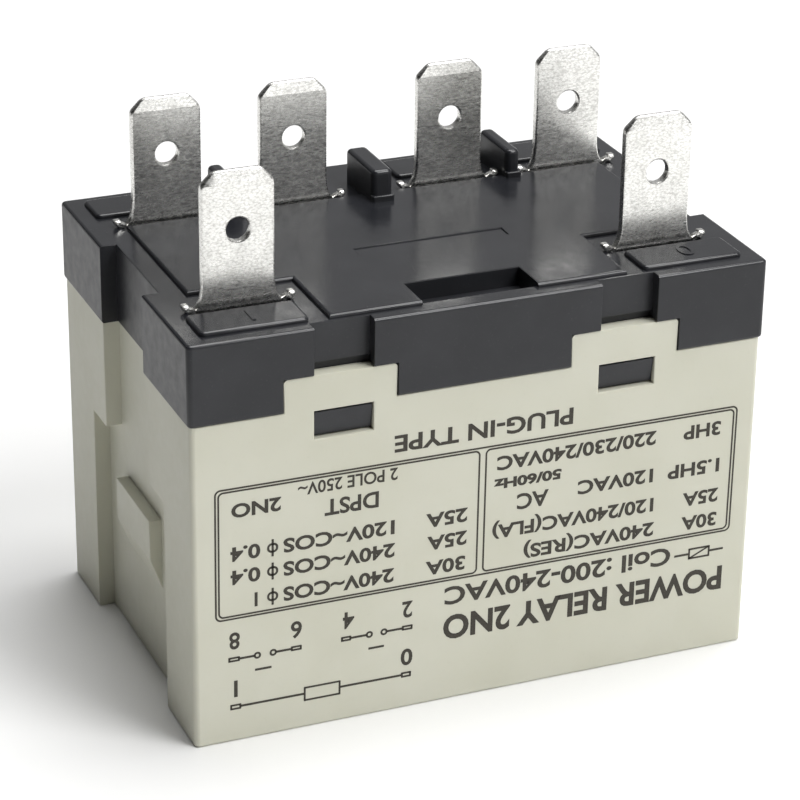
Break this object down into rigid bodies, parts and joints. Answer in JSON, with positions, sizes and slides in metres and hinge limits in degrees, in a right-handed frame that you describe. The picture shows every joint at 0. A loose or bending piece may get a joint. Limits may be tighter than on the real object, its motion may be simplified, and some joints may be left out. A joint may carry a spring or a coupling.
{
  "type": "plug in power relay",
  "caption": "Plug in power relay: rectangular two-part moulded housing with upright quick-connect tabs on top and a sealed clapper magnet that lifts bridge contacts.",
  "frame": {"origin": "centre of the object's box at the closed foot of the case", "axes": "+Z from the foot up to the quick-connect tabs, -Y out of the label face, X along the label face"},
  "size_m": [0.0528, 0.035, 0.0495],
  "materials": {
    "case_cream": "fine satin mould texture",
    "base_black": "glossy top, satin sides",
    "tinned_tab": "tin plated, finely pitted",
    "contact_silver": "silver alloy, dull",
    "bridge_copper": "rolled copper",
    "carrier_plastic": "moulded",
    "spring_steel": "drawn wire",
    "bobbin_plastic": "moulded",
    "winding_enamel": "enamelled copper wire",
    "coil_tape": "polyester tape",
    "soft_iron": "nickel plated soft iron",
    "shading_copper": "copper",
    "lead_sleeve": "sleeved wire",
    "pin_brass": "tinned brass"
  },
  "bodies": {
    "root": {"case": "case_cream", "terminal_base": "base_black", "contact_terminal_8": "tinned_tab", "contact_terminal_6": "tinned_tab", "contact_terminal_4": "tinned_tab", "contact_terminal_2": "tinned_tab", "coil_terminal_1": "tinned_tab", "coil_terminal_0": "tinned_tab", "fixed_contacts": "contact_silver", "return_spring": "spring_steel", "bobbin": "bobbin_plastic", "winding": "winding_enamel", "coil_tape": "coil_tape", "core": "soft_iron", "shading_ring": "shading_copper", "yoke": "soft_iron", "coil_pins": "pin_brass", "coil_lead_1": "lead_sleeve", "coil_lead_0": "lead_sleeve"},
    "armature": {"armature": "soft_iron"},
    "carrier": {"contact_carrier": "carrier_plastic", "contact_spring_left": "spring_steel", "contact_spring_right": "spring_steel"},
    "bridge_left": {"bridge_bar_left": "bridge_copper", "moving_contacts_left": "contact_silver"},
    "bridge_right": {"bridge_bar_right": "bridge_copper", "moving_contacts_right": "contact_silver"}
  },
  "joints": [
    {"name": "armature_swing", "type": "hinge", "parent": "root", "child": "armature", "pos_m": [0.0135, 0.0015, 0.02], "axis": [0, 1, 0], "range_deg": [0, 16.66]},
    {"name": "carrier_lift", "type": "slide", "parent": "root", "child": "carrier", "axis": [0, 0, 1], "range_m": [0, 0.0038], "stiffness_N_per_m": 100, "springref_m": -0.004, "deforming": ["return_spring"]},
    {"name": "bridge_left_overtravel", "type": "slide", "parent": "carrier", "child": "bridge_left", "axis": [0, 0, -1], "range_m": [0, 0.0008], "deforming": ["contact_spring_left"]},
    {"name": "bridge_right_overtravel", "type": "slide", "parent": "carrier", "child": "bridge_right", "axis": [0, 0, -1], "range_m": [0, 0.0008], "deforming": ["contact_spring_right"]}
  ],
  "couplings": [
    {"joint": "armature_swing", "follows": "carrier_lift", "rad_per_m": 76.542},
    {"joint": "bridge_left_overtravel", "follows": "carrier_lift", "ratio": 0.21053},
    {"joint": "bridge_right_overtravel", "follows": "carrier_lift", "ratio": 0.21053}
  ]
}
